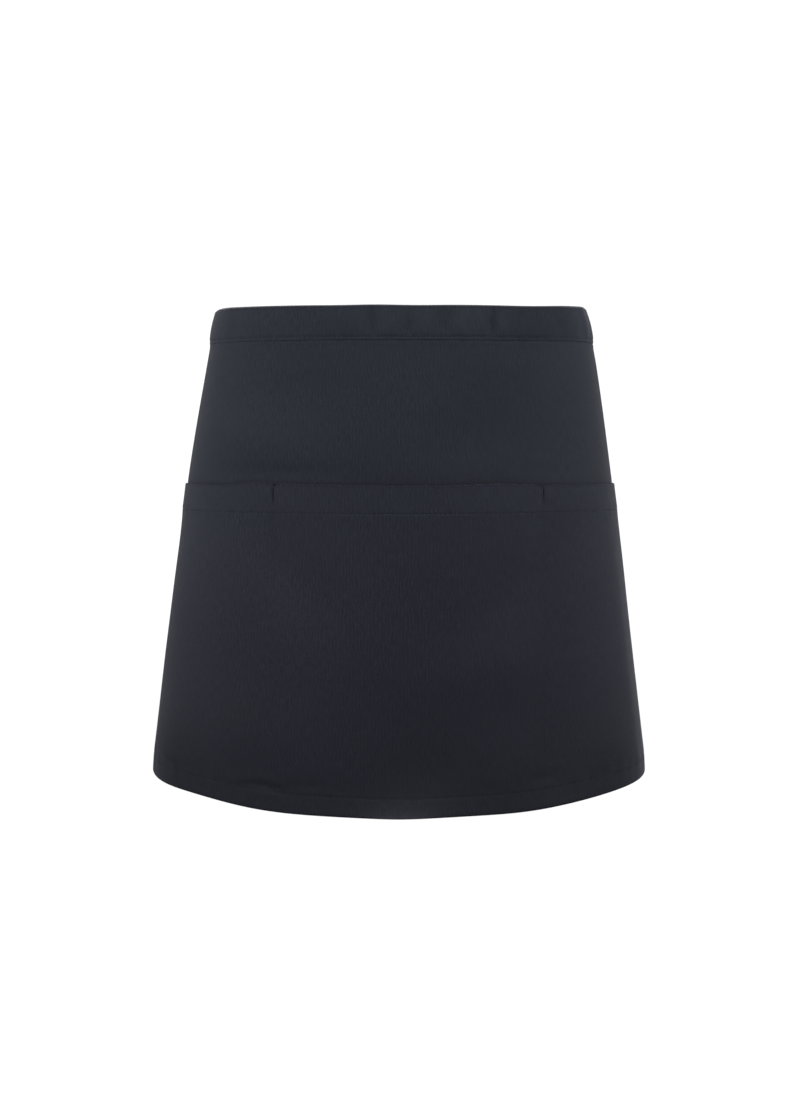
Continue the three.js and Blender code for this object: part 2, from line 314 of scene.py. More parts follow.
EDGE_ROLL = 5
EDGE_ROLL_WIDTH = 32
DRAPE = 0.3
DRAPE_SLANT = 0.15
HEM_DRAPE = 0.6
FOLD_START = 20
HEM_RIPPLE = 0.22
SIDE_RIPPLE = 0.16
HIP_RIDGE = 0.5
HIP_HOLLOW = 0.8
FRONT_FLARE = 1.2
MIDDLE_FLARE = 1.5
HIP_CURL = 2
FLARE_START = 4


def hang(arc, row):
    """How both panels hang together: curled side edges, a faint drape with soft folds, puckers along
    the hem, which is stiff, so it flares out a little in front and curls in at the hips."""
    from_edge = np.clip((HALF_WIDTH - np.abs(arc)) / EDGE_ROLL_WIDTH, 0, 1)
    down = np.clip((row - BAND_HEIGHT) / (LENGTH - BAND_HEIGHT), 0, 1)
    roll = EDGE_ROLL * (1 - from_edge) ** 2 * down
    drape = DRAPE * ripple(arc + DRAPE_SLANT * row, wave=118, start=0.4) * down
    drape = drape + HEM_DRAPE * ripple(arc, wave=96, start=1.7) * down**3
    free = np.clip((row - BAND_HEIGHT) / FOLD_START, 0, 1) ** 2
    sewn = HEM_RIPPLE * ripple(arc, wave=15, start=2.1) * hump(row, HEM_LINE, reach=7)
    sewn = sewn + SIDE_RIPPLE * ripple(row, wave=11, start=0.7) * hump(np.abs(arc), SIDE_LINE, reach=5)
    right_hip = HIP_RIDGE * hump(row, middle=258, reach=38) - HIP_HOLLOW * hump(row, middle=168, reach=32)
    right_hip = right_hip * hump(arc, middle=-200, reach=60)
    flare = FRONT_FLARE + MIDDLE_FLARE * hump(arc, middle=2, reach=26)
    flare = flare - HIP_CURL * step_up(np.abs(arc), edge=150, reach=22)
    in_hem = np.clip((row - HEM_LINE + FLARE_START) / (BOTTOM_HEM + FLARE_START), 0, 1) ** 1.5
    folds = soft_folds(arc, row) * free + puckers(arc, row)
    return drape - roll + folds + sewn + right_hip + flare * in_hem


RIGHT_SWAY = 2
MIDDLE_SWAY = 0.6
LEFT_SWAY = 1.3


def mouth_lift(arc):
    """How far the pocket mouth stands above its row: it sways up on the way to each divider."""
    right = step_up(arc, edge=-122, reach=5) - step_up(arc, edge=-72, reach=14)
    middle = hump(arc, middle=-45, reach=30)
    left = hump(arc, middle=70, reach=28)
    return RIGHT_SWAY * right + MIDDLE_SWAY * middle + LEFT_SWAY * left


BAND_SWELL = 0.5
BAND_PRESS = 0.25
GATHERS = 0.16
RIGHT_DRAG = 1.1
LEFT_DRAG = 0.4
TUCK = 0.35
TUCK_CHANGE = 0.15
SIDE_GROOVE = 0.22


def skirt_face(arc, row):
    """Stand-off of the skirt's outer face: how it hangs, pressed flat inside the band and swelling out
    below it, with gathers there, and dragged in above the pocket mouth, with a tuck under it."""
    swell = BAND_SWELL * hump(row, BAND_HEIGHT + 1.2, reach=1.2)
    press = BAND_PRESS * (1 - step_up(row, BAND_HEIGHT - 0.3, reach=0.5))
    gathers = GATHERS * ripple(arc, wave=31, start=1.1) * hump(row, BAND_HEIGHT + 14, reach=16)
    drag = RIGHT_DRAG * hump(arc, middle=-90, reach=52) * hump(row, POCKET_MOUTH - 8.5, reach=6)
    drag = drag + LEFT_DRAG * hump(arc, middle=128, reach=46) * hump(row, POCKET_MOUTH - 8, reach=6)
    tuck = TUCK + TUCK_CHANGE * (ripple(arc, wave=83, start=0.6) - hump(arc, middle=18, reach=42))
    tuck = tuck * hump(row, POCKET_MOUTH + 1.2, reach=2)
    groove = SIDE_GROOVE * hump(np.abs(arc), SIDE_LINE, reach=0.8) * step_up(row, BAND_HEIGHT, reach=1)
    return hang(arc, row) + swell - press + gathers - drag - tuck - groove


def skirt_back(arc, row):
    """Stand-off of the skirt's inner face: one layer in, and two where the bottom and side hems are
    turned in behind it."""
    bottom = step_up(row, HEM_LINE - 1, reach=0.35)
    sides = step_up(np.abs(arc), HALF_WIDTH - SIDE_HEM, reach=0.35)
    hems = np.maximum(bottom, sides * step_up(row, BAND_HEIGHT + 2, reach=0.6))
    return skirt_face(arc, row) - CLOTH - (PRESSED_FOLD - CLOTH) * hems


EDGE_RUB = 1.2
# Painted shade on the skirt along the pocket mouth, more where the mouth sways up.
MOUTH_SHADE = 0.15
SWAY_SHADE = 0.35


def skirt_wear(arc, row):
    """Rubbing and painted light on the skirt, paler above 0 and darker below it: rubbed side and
    bottom edges, painted shade along the pocket mouth, more where it sways up, and painted light and
    shade on the soft folds."""
    rubbed = hump(np.abs(arc), HALF_WIDTH, EDGE_RUB) + hump(row, LENGTH, EDGE_RUB)
    shade = MOUTH_SHADE + SWAY_SHADE * np.clip(mouth_lift(arc), 0, 1)
    shade = shade * hump(row, POCKET_MOUTH - mouth_lift(arc), reach=2)
    return np.clip(rubbed, 0, 1) - shade + fold_painted_light(arc, row)


def lines(low, high, step, seams=(), edge=CLOTH / 2):
    """Grid lines from low to high: even ones, closer ones beside each seam, and a half-round end."""
    even = np.linspace(low, high, int(round((high - low) / step)) + 1)
    beside = np.array([-2.4, -1.5, -0.9, -0.45, 0, 0.45, 0.9, 1.5, 2.4])
    rounds = edge * (1 - np.cos(np.linspace(0, np.pi / 2, 5)))
    extra = [seam_line + beside for seam_line in seams]
    kept = np.concatenate([*extra, low + rounds, high - rounds])
    kept = kept[(kept >= low) & (kept <= high)]
    crowded = 0.3 * step
    clear = np.abs(even[:, None] - kept[None, :]).min(axis=1) > crowded
    return np.unique(np.concatenate([even[clear], kept]).round(4))


def round_edge(x, low, high, edge):
    """The share of a wall's thickness near its border, a quarter circle: nothing on the border, full
    one edge in."""
    inside = np.clip(np.minimum(x - low, high - x) / edge, 0, 1)
    return np.sqrt(1 - (1 - inside) ** 2)


def new_piece(name, points, faces, flat, wear, material):
    """A mesh object from arrays of points, quads, flat cloth coordinates, and rubbing with painted light
    and shade.
    """
    mesh = bpy.data.meshes.new(name)
    mesh.vertices.add(len(points))
    mesh.vertices.foreach_set("co", points.astype(np.float32).ravel())
    mesh.loops.add(faces.size)
    mesh.loops.foreach_set("vertex_index", faces.astype(np.int32).ravel())
    mesh.polygons.add(len(faces))
    mesh.polygons.foreach_set("loop_start", np.arange(0, faces.size, 4, dtype=np.int32))
    mesh.polygons.foreach_set("use_smooth", np.ones(len(faces), bool))
    mesh.update(calc_edges=True)
    chart = mesh.uv_layers.new(name="cloth")
    chart.uv.foreach_set("vector", flat[faces.ravel()].astype(np.float32).ravel())
    # This attribute holds rubbing together with painted light and painted shade.
    rubbed = mesh.attributes.new("wear", "FLOAT", "POINT")
    rubbed.data.foreach_set("value", wear.astype(np.float32))
    mesh.materials.append(material)
    piece = bpy.data.objects.new(name, mesh)
    scene.collection.objects.link(piece)
    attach(piece, "root")
    return piece


def quads_of(ids):
    """The quads of a grid of vertex numbers, facing out where rows run down and columns run on."""
    corners = [ids[:-1, :-1], ids[1:, :-1], ids[1:, 1:], ids[:-1, 1:]]
    return np.stack(corners, axis=-1).reshape(-1, 4)


def cloth_wall(name, outer, inner, flat, wear, material):
    """A closed wall of cloth: an outer and an inner grid of points that share their border."""
    rows, columns = outer.shape[:2]
    outer_ids = np.arange(rows * columns).reshape(rows, columns)
    inner_ids = outer_ids.copy()
    hidden = (rows - 2) * (columns - 2)
    inner_ids[1:-1, 1:-1] = rows * columns + np.arange(hidden).reshape(rows - 2, columns - 2)
    faces = np.concatenate([quads_of(outer_ids), quads_of(inner_ids)[:, ::-1]])

    def both(grid_out, grid_in):
        """The values of the outer grid, then those of the inner one without its border."""
        width = grid_out.shape[2]
        within = grid_in[1:-1, 1:-1].reshape(-1, width)
        return np.concatenate([grid_out.reshape(-1, width), within])

    points = both(outer, inner)
    chart = both(flat, flat)
    # Rubbing together with painted light and painted shade, for both faces.
    rubbed = both(wear[..., None], wear[..., None])[:, 0]
    return new_piece(name, points, faces, chart, rubbed, material)


def panel(name, columns, rows, edge, drop, face, back, wear, material):
    """A sewn panel on a grid of columns and rows: a closed wall between the stand-offs of its face and
    its back, half of it to each side of their middle, rounded off to nothing along its border."""
    arc, row = np.meshgrid(columns, rows)
    front, behind = face(arc, row), back(arc, row)
    half = (front - behind) / 2 * round_edge(arc, columns[0], columns[-1], CLOTH / 2)
    half = half * round_edge(row, rows[0], rows[-1], edge)
    middle = (front + behind) / 2
    outer = place(arc, drop(arc, row), middle + half)
    inner = place(arc, drop(arc, row), middle - half)
    flat = np.stack([arc, -row], axis=-1) * MM
    return cloth_wall(name, outer, inner, flat, wear(arc, row), material)


def joined(tree, kind, inputs, **settings):
    """A shader node of a kind, with each input set to a value or linked to another node's output."""
    node = tree.nodes.new(kind)
    for name, value in settings.items():
        setattr(node, name, value)
    for name, value in inputs.items():
        if isinstance(value, bpy.types.NodeSocket):
            tree.links.new(value, node.inputs[name])
        else:
            node.inputs[name].default_value = value
    return node


def new_finish(name, constants):
    """A material whose shader has these constants, with its node tree and that shader."""
    material = bpy.data.materials.new(name)
    material.use_nodes = True
    shader = material.node_tree.nodes["Principled BSDF"]
    for socket, value in constants.items():
        shader.inputs[socket].default_value = value
    return material, material.node_tree, shader


# A wave texture of scale 1 makes 20 waves over a length of two pi.
ONE_WAVE = 2 * math.pi / 20
WALE = 1.15 * MM
RIB = 2.4 * MM


def twill(name, dye, start):
    """Black twill: steep wales as colour and bump, faint upright ribs, uneven yarns with slubs, paler
    rubbed edges and painted light, painted shade in creases and along edges, and a colour that turns a
    little warmer towards the hem. Each grain is a noise or a wave over the flat cloth that multiplies the
    dye."""
    constants = {
        "Specular IOR Level": 0.05,
        "Sheen Weight": 0.021,
        "Sheen Roughness": 0.42,
        "Sheen Tint": (0.8, 0.86, 1, 1),
    }
    material, tree, shader = new_finish(name, constants)
    chart = joined(tree, "ShaderNodeUVMap", {}, uv_map="cloth").outputs["UV"]

    def turned(angle=0, cells=(1, 1, 1)):
        """The flat cloth turned by an angle in degrees, with so many cells to a metre each way."""
        inputs = {
            "Vector": chart,
            "Location": (start, 0.37 * start, 0),
            "Rotation": (0, 0, math.radians(angle)),
            "Scale": cells,
        }
        return joined(tree, "ShaderNodeMapping", inputs).outputs["Vector"]

    def waves(pitch, angle, distortion, detail, detail_scale):
        """Wavering ridges of a pitch, at an angle to the upright."""
        inputs = {
            "Vector": turned(angle),
            "Scale": ONE_WAVE / pitch,
            "Distortion": distortion,
            "Detail": detail,
            "Detail Scale": detail_scale,
        }
        return joined(tree, "ShaderNodeTexWave", inputs).outputs["Fac"]

    def noise(across, along, detail):
        """Uneven spots, so many to a metre across the cloth and along it."""
        inputs = {"Vector": turned(cells=(across, along, 1)), "Scale": 1, "Detail": detail}
        return joined(tree, "ShaderNodeTexNoise", inputs).outputs["Fac"]

    def between(value, low, high, least, most):
        """A value that runs from low to high, made to run from least to most."""
        inputs = {"Value": value, "From Min": low, "From Max": high, "To Min": least, "To Max": most}
        return joined(tree, "ShaderNodeMapRange", inputs).outputs["Result"]

    def blend(kind, share, first, second):
        """A share of the second colour in the first."""
        inputs = {0: share, 6: first, 7: second}
        return joined(tree, "ShaderNodeMix", inputs, data_type="RGBA", blend_type=kind).outputs[2]

    def bump(height, strength, depth, **under):
        """A normal that follows a height, of a depth in millimetres, over the one under it."""
        inputs = {"Height": height, "Strength": strength, "Distance": depth * MM, **under}
        return joined(tree, "ShaderNodeBump", inputs).outputs["Normal"]

    def dyed(red, green, blue):
        """The dye with its three colours multiplied."""
        return (red * dye[0], green * dye[1], blue * dye[2], 1)

    wales = waves(WALE, angle=21, distortion=0.9, detail=1, detail_scale=0.35)
    ribs = waves(RIB, angle=0, distortion=7, detail=2, detail_scale=0.8)
    yarns = noise(across=2000, along=190, detail=2)
    picks = noise(across=210, along=1700, detail=2)
    slubs = noise(across=760, along=130, detail=1)
    patches = noise(across=11, along=11, detail=3)

    # The deep colour is painted shade; the rubbed colour serves both real rubbing and painted light.
    deep = dyed(0.45, 0.41, 0.55)
    plain = dyed(1, 1, 1)
    warm = dyed(1.05, 0.95, 1.01)
    rubbed = dyed(2.75, 2.4, 2.05)
    along = joined(tree, "ShaderNodeSeparateXYZ", {"Vector": chart}).outputs["Y"]
    cloth = blend("MIX", between(along, low=-0.15, high=-0.33, least=0, most=1), plain, warm)
    grains = (
        # Grain, its low and high values, and what they multiply the dye by
        (patches, 0.3, 0.7, 0.93, 1.07),
        (yarns, 0.25, 0.75, 0.86, 1.14),
        (picks, 0.25, 0.75, 0.9, 1.1),
        (slubs, 0.25, 0.75, 0.86, 1.14),
        (ribs, 0, 1, 0.9, 1.1),
        (wales, 0, 1, 0.8, 1.18),
    )
    for grain in grains:
        cloth = blend("MULTIPLY", 1.0, cloth, between(*grain))
    # Below 0 this mixes in painted shade, above 0 real rubbing and painted light.
    wear = joined(tree, "ShaderNodeAttribute", {}, attribute_name="wear").outputs["Fac"]
    uneven = {0: wear, 1: between(picks, low=0.3, high=0.65, least=0.3, most=1)}
    wear_and_light_share = joined(tree, "ShaderNodeMath", uneven, operation="MULTIPLY").outputs["Value"]
    cloth = blend("MIX", between(wear_and_light_share, low=0, high=1, least=0, most=1), cloth, rubbed)
    cloth = blend("MIX", between(wear, low=0, high=-1, least=0, most=1), cloth, deep)
    roughness = between(yarns, low=0.3, high=0.7, least=0.9, most=0.78)
    tree.links.new(cloth, shader.inputs["Base Color"])
    tree.links.new(roughness, shader.inputs["Roughness"])
    weave = bump(wales, strength=0.55, depth=0.2)
    weave = bump(yarns, strength=0.35, depth=0.16, Normal=weave)
    weave = bump(picks, strength=0.25, depth=0.12, Normal=weave)
    tree.links.new(weave, shader.inputs["Normal"])
    return material


SKIRT_PATTERN = 0.11
skirt = panel(
    "skirt",
    columns=lines(-HALF_WIDTH, HALF_WIDTH, SKIRT_GRID, seams=(-SIDE_LINE, SIDE_LINE)),
    rows=lines(SKIRT_TOP, LENGTH, SKIRT_GRID, seams=(POCKET_MOUTH - 1.5, HEM_LINE)),
    edge=CLOTH / 2,
    drop=bent_drop,
    face=skirt_face,
    back=skirt_back,
    wear=skirt_wear,
    material=twill("skirt_twill", SKIRT_DYE, SKIRT_PATTERN),
)
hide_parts("skirt_panel")

THREAD_DYE = (0.0026, 0.003, 0.0043)
PLY = 0.55 * MM
PLY_ANGLE = math.radians(38)
STITCH_PITCH = 3.1
STITCH_SIDES = 6
STITCH_SLANT = 0.1
STITCH_FLATNESS = 0.42
STITCH_STAND = 0.15
STITCH_DIVE = 0.5
SEAM_START = 2
SEAM_END = 1
BELOW_BAND = 4


def thread(name, dye):
    """Sewing thread: two plies twisted round each other, a little glossier than the cloth, as a slanting
    wave that runs between a dark and a light shade, and pale where a painted highlight is given."""
    constants = {
        "Roughness": 0.55,
        "Specular IOR Level": 0.05,
        "Sheen Weight": 0.01,
        "Sheen Roughness": 0.4,
    }
    material, tree, shader = new_finish(name, constants)
    chart = joined(tree, "ShaderNodeUVMap", {}, uv_map="cloth").outputs["UV"]
    slant = joined(tree, "ShaderNodeMapping", {"Vector": chart, "Rotation": (0, 0, PLY_ANGLE)})
    wave = {"Vector": slant.outputs["Vector"], "Scale": ONE_WAVE / PLY}
    plies = joined(tree, "ShaderNodeTexWave", wave).outputs["Fac"]
    # The pale third colour is for painted highlights on the stitches.
    dark, light, painted_pale = (tuple(share * c for c in dye) + (1,) for share in (0.6, 1.3, 7))
    mixing = {"data_type": "RGBA", "blend_type": "MIX"}
    shade = joined(tree, "ShaderNodeMix", {0: plies, 6: dark, 7: light}, **mixing).outputs[2]
    wear = joined(tree, "ShaderNodeAttribute", {}, attribute_name="wear").outputs["Fac"]
    shade = joined(tree, "ShaderNodeMix", {0: wear, 6: shade, 7: painted_pale}, **mixing).outputs[2]
    tree.links.new(shade, shader.inputs["Base Color"])
    twist = joined(tree, "ShaderNodeBump", {"Height": plies, "Strength": 0.5, "Distance": 0.1 * MM})
    tree.links.new(twist.outputs["Normal"], shader.inputs["Normal"])
    return material


black_thread = thread("black_thread", THREAD_DYE)


def stitches(name, points, facing, length=2.4, width=0.5, wear=0):
    """Lockstitches on a row of points: each a six-sided bead of thread, thickest in its middle and a
    little aslant, whose ends dive into the cloth by the square of the way from the middle."""
    along = np.gradient(points, axis=0)
    along /= np.linalg.norm(along, axis=-1, keepdims=True)
    across = np.cross(facing, along)
    station = np.array([-1, -0.72, 0, 0.72, 1])[:, None]
    girth = np.array([0.3, 0.84, 1, 0.84, 0.3])[:, None]
    turn = np.linspace(0, 2 * np.pi, STITCH_SIDES, endpoint=False)
    ahead = np.repeat(station, STITCH_SIDES, axis=1) * length / 2
    aside = girth * np.cos(turn) * width / 2 + STITCH_SLANT * ahead
    up = girth * np.sin(turn) * STITCH_FLATNESS + STITCH_STAND - STITCH_DIVE * station**2
    bead = zip((ahead, aside, up * width), (along, across, facing))
    offsets = [(size * MM)[None, :, :, None] * axis[:, None, None, :] for size, axis in bead]
    grid = points[:, None, None, :] + sum(offsets)
    ids = np.arange(len(points) * ahead.size).reshape(len(points), *ahead.shape)
    wrapped = np.concatenate([ids, ids[:, :, :1]], axis=2)
    quads = [wrapped[:, :-1, :-1], wrapped[:, :-1, 1:], wrapped[:, 1:, 1:], wrapped[:, 1:, :-1]]
    body = np.stack(quads, axis=-1).reshape(-1, 4)
    start, end = ids[:, 0], ids[:, -1]
    caps = [start[:, [3, 2, 1, 0]], start[:, [5, 4, 3, 0]], end[:, [0, 1, 2, 3]], end[:, [0, 3, 4, 5]]]
    faces = np.concatenate([body, *caps])
    chart = np.stack([np.broadcast_to(turn * width / 2, ahead.shape), ahead], axis=-1) * MM
    flat = np.broadcast_to(chart, (len(points), *chart.shape)).reshape(-1, 2)
    # Painted highlight on each stitch, given for its row.
    thread_painted_light = np.repeat(np.broadcast_to(wear, len(points)), ahead.size)
    return new_piece(name, grid.reshape(-1, 3), faces, flat, thread_painted_light, black_thread)


def seam(name, surface, arcs, rows, side=1, **thread_look):
    """Stitches along a line on a surface, on its outer side or, where the side is -1, its inner one. They
    face along the cross product of two short steps, down the surface and across it."""
    arcs, rows = np.broadcast_arrays(arcs, rows)
    short = 0.25
    across = surface(arcs + short, rows) - surface(arcs - short, rows)
    down = surface(arcs, rows + short) - surface(arcs, rows - short)
    facing = np.cross(down, across)
    facing = side * facing / np.linalg.norm(facing, axis=-1, keepdims=True)
    return stitches(name, surface(arcs, rows), facing, **thread_look)


def on_face(drop, face, arc, row):
    """Points on one face of a panel, by the functions that give its drop and its stand-off."""
    return place(arc, drop(arc, row), face(arc, row))


skirt_outside = partial(on_face, bent_drop, skirt_face)
skirt_inside = partial(on_face, bent_drop, skirt_back)
side_rows = np.arange(BAND_HEIGHT + BELOW_BAND, LENGTH - SEAM_END, STITCH_PITCH)
hem_arcs = np.arange(SEAM_START - HALF_WIDTH, HALF_WIDTH - SEAM_END, STITCH_PITCH)
for label, edge in (("right", -SIDE_LINE), ("left", SIDE_LINE)):
    for face, surface, side in (("outside", skirt_outside, 1), ("inside", skirt_inside, -1)):
        seam(f"stitches_{label}_edge_{face}", surface, edge, side_rows, side)
seam("stitches_hem_inside", skirt_inside, hem_arcs, HEM_LINE, side=-1)

# Pocket panel
# A second layer of the same twill over the lower two thirds of the skirt, caught in the side and
# bottom hems. Its mouth has a 20 mm hem, and two upright seams divide it into three pockets.
MOUTH_HEM = 20
MOUTH_STITCH = POCKET_MOUTH + MOUTH_HEM - 0.4
RIGHT_DIVIDER = -89.4
LEFT_DIVIDER = 102.6
MIDDLE_GAPE = 10
SIDE_GAPE = 0.1
SEAM_EASE = 0.06
RIGHT_CREASE = 13.4
LEFT_CREASE = 8.2
CREASE_TOP = 1.6
PUCKER_LINE = LENGTH - 18.6
POCKET_GRID = 2.5
# The pocket panel is the skirt's twill, with its dye made paler as painted light.
POCKET_DYE_PAINTED_PALER = (0.0032, 0.0036, 0.0056)
POCKET_PATTERN = 0.53


def slack(arc, row):
    """Stand-off of the slack cloth: half a sine wave across each pocket, eased to lie flat along the
    seams, which dies away down the cloth."""
    edges = np.array([-HALF_WIDTH, RIGHT_DIVIDER, LEFT_DIVIDER, HALF_WIDTH])
    i = np.clip(np.searchsorted(edges, arc) - 1, 0, 2)
    wave = np.clip(np.sin(np.pi * (arc - edges[i]) / (edges[i + 1] - edges[i])), 0, 1)
    across = (np.hypot(wave, SEAM_EASE) - SEAM_EASE) / (np.hypot(1, SEAM_EASE) - SEAM_EASE)
    gape = np.array([SIDE_GAPE, MIDDLE_GAPE, SIDE_GAPE])[i]
    down = np.clip((row - POCKET_MOUTH) / (LENGTH - POCKET_MOUTH), 0, 1)
    return gape * across * (1 - down) ** 1.3


def beyond_divider(arc):
    """The distance from the nearer dividing seam, positive inside the middle pocket."""
    return np.minimum(arc - RIGHT_DIVIDER, LEFT_DIVIDER - arc)


def hem_crease(arc, row):
    """How sharply a dividing seam creases the mouth hem: from under its edge to part way down it."""
    foot = POCKET_MOUTH + np.where(arc < 0, RIGHT_CREASE, LEFT_CREASE)
    return step_up(row, POCKET_MOUTH + CREASE_TOP, reach=0.8) * (1 - step_up(row, foot, reach=1.6))


MIDDLE_PULL = 2.6
SIDE_PULL = 0.9


def pocket_drop(arc, row):
    """The drop of a row of the pocket panel: the mouth sways, and its corners are pulled down at the
    dividers, more sharply on the outer side."""
    inside = beyond_divider(arc)
    middle_corner = MIDDLE_PULL * hump(inside, 0, reach=3.4)
    side_corner = SIDE_PULL * hump(inside, 0, reach=1.6)
    pull = np.where(inside > 0, middle_corner, side_corner)
    fade = np.clip(1 - (row - POCKET_MOUTH) / MOUTH_HEM, 0, 1)
    return bent_drop(arc, row) + pull * fade**2 - mouth_lift(arc) * fade


MOUTH_RIPPLE = 0.12
DIVIDER_RIPPLE = 0.06
DIVIDER_RIPPLE_REACH = 4
DIVIDER_GROOVE = 0.03
CREASE_DEPTH = 0.7
MOUTH_GROOVE = 0.3
HEM_GROOVE = 0.25
HEM_LEDGE = 0.25


def pocket_rest(arc, row):
    """Stand-off of the pocket panel before it is sewn down: how it hangs, its layers and its slack."""
    down = np.clip((row - POCKET_MOUTH) / (LENGTH - POCKET_MOUTH), 0, 1)
    stand = SEAM_GAP + PRESSED_FOLD + (CLOTH - PRESSED_FOLD) * down
    sewn = MOUTH_RIPPLE * (1 + ripple(arc, wave=12, start=0.3)) * hump(row, MOUTH_STITCH, reach=6)
    return hang(arc, row) + stand + slack(arc, row) + sewn


def pocket_face(arc, row):
    """Stand-off of the pocket panel's outer face, with the stitched lines pressed into it, and a ledge
    where the mouth's hem ends, which dies away further down."""
    near = np.abs(beyond_divider(arc))
    divider = (DIVIDER_GROOVE + CREASE_DEPTH * hem_crease(arc, row)) * hump(near, 0, reach=0.48)
    rippled = DIVIDER_RIPPLE * ripple(row, wave=13, start=0.9) * np.exp(-near / DIVIDER_RIPPLE_REACH)
    mouth = MOUTH_GROOVE * hump(row, MOUTH_STITCH, reach=0.8)
    hem = HEM_GROOVE * hump(row, HEM_LINE, reach=0.8)
    ledge = step_up(row, MOUTH_STITCH + 1.2, reach=0.8) * (1 - step_up(row, MOUTH_STITCH + 30, reach=12))
    return pocket_rest(arc, row) - divider + rippled - mouth - hem - HEM_LEDGE * ledge


def pocket_back(arc, row):
    """Stand-off of the pocket panel's inner face: one layer in, and two in the hem along the mouth."""
    hem = 1 - step_up(row, POCKET_MOUTH + MOUTH_HEM, reach=0.35)
    return pocket_rest(arc, row) - CLOTH - (PRESSED_FOLD - CLOTH) * hem


# Painted light along the pocket's hem, brightest at its middle, and a little above it.
HEM_PAINTED_LIGHT = 0.12
RIGHT_HEM_PAINTED_LIGHT = 0.14
HEM_LIGHT_START = 6
MID_HEM_PAINTED_LIGHT = 0.9
MID_EDGE_PAINTED_LIGHT = 0.7
ABOVE_HEM_PAINTED_LIGHT = 0.25
# Painted shade at the bottom edge, the puckers, the mouth edge, the hips and the creases, and painted
# light below the puckers.
EDGE_SHADE = 1.1
PUCKER_SHADE = 0.4
PUCKER_SHADE_BELOW = 1.6
PUCKER_PAINTED_LIGHT = 0.45
PUCKER_LIGHT_BELOW = 7
MOUTH_EDGE_SHADE = 0.8
LEFT_HIP_SHADE = 0.6
SIDE_FADE = 0.5
CREASE_SHADE = 0.85
DARKEST = -1
PALEST = 1.5


def pocket_wear(arc, row):
    """Rubbing and painted light on the pocket panel, paler above 0 and darker below it: painted light
    along the hem, brightest at its middle, puckers with painted shade at the foot and painted light
    further down, painted shade along the bottom edge, the mouth edge, the hips and the creases, rubbed
    sides, and painted light and shade on the soft folds."""
    in_hem = np.clip((row - HEM_LINE + HEM_LIGHT_START) / (BOTTOM_HEM + HEM_LIGHT_START), 0, 1)
    mid_hem = hump(arc, middle=2, reach=25)
    # Painted light along the hem, brightest at its middle, and a little above it.
    hem = (HEM_PAINTED_LIGHT + RIGHT_HEM_PAINTED_LIGHT * hump(arc, middle=-80, reach=55)) * in_hem
    hem = hem + (MID_HEM_PAINTED_LIGHT * in_hem**2 + MID_EDGE_PAINTED_LIGHT * in_hem**10) * mid_hem
    hem = hem + ABOVE_HEM_PAINTED_LIGHT * hump(arc, middle=14, reach=28) * hump(row, HEM_LINE - 4, reach=14)
    # Painted shade along the bottom edge, apart from the hem's middle.
    hem = hem - EDGE_SHADE * hump(row, LENGTH, EDGE_RUB) * (1 - mid_hem)
    # Painted light below each pucker and painted shade at its foot.
    pucker_painted_light_and_shade = PUCKER_PAINTED_LIGHT * puckers(arc, row - PUCKER_LIGHT_BELOW)
    pucker_painted_light_and_shade = pucker_painted_light_and_shade - PUCKER_SHADE * puckers(arc, row - PUCKER_SHADE_BELOW)
    # Painted shade along the mouth edge.
    mouth = MOUTH_EDGE_SHADE * hump(row, POCKET_MOUTH, reach=0.9)
    # Painted shade at both hips near the hem.
    hips = hump(arc, middle=-208, reach=55) * step_up(row, edge=308, reach=14)
    hips = hips + LEFT_HIP_SHADE * hump(arc, middle=172, reach=30) * step_up(row, edge=318, reach=8)
    sides = SIDE_FADE * hump(np.abs(arc), HALF_WIDTH, EDGE_RUB)
    # Painted shade in the divider creases of the mouth hem.
    crease_painted_shade = CREASE_SHADE * hem_crease(arc, row) * hump(beyond_divider(arc), 0, reach=0.4)
    wear = hem + pucker_painted_light_and_shade - mouth - hips + sides - crease_painted_shade + fold_painted_light(arc, row)
    return np.clip(wear, DARKEST, PALEST)


pocket = panel(
    "pocket",
    columns=lines(-HALF_WIDTH, HALF_WIDTH, POCKET_GRID, seams=(RIGHT_DIVIDER, LEFT_DIVIDER)),
    rows=lines(
        POCKET_MOUTH,
        LENGTH,
        POCKET_GRID,
        seams=(MOUTH_STITCH, PUCKER_LINE, HEM_LINE),
        edge=PRESSED_FOLD / 2,
    ),
    edge=PRESSED_FOLD / 2,
    drop=pocket_drop,
    face=pocket_face,
    back=pocket_back,
    wear=pocket_wear,
    material=twill("pocket_twill", POCKET_DYE_PAINTED_PALER, POCKET_PATTERN),
)
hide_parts("pocket_panel")

# Painted highlights on the mouth and hem stitches, most at the middle, and a little on the divider
# stitches.
MOUTH_THREAD_PAINTED_LIGHT = 0.36
HEM_THREAD_PAINTED_LIGHT = 0.1
DIVIDER_TOP = 2.2
DIVIDER_STITCH = {"length": 2.2, "width": 0.24, "wear": 0.06}
TACK_STITCH = {"length": 1.5, "width": 0.4}
TACK_TOP = 1.6
TACK_FOOT = 12
TACK_PITCH = 0.62
TACK_ZIGZAG = 0.4

pocket_outside = partial(on_face, pocket_drop, pocket_face)
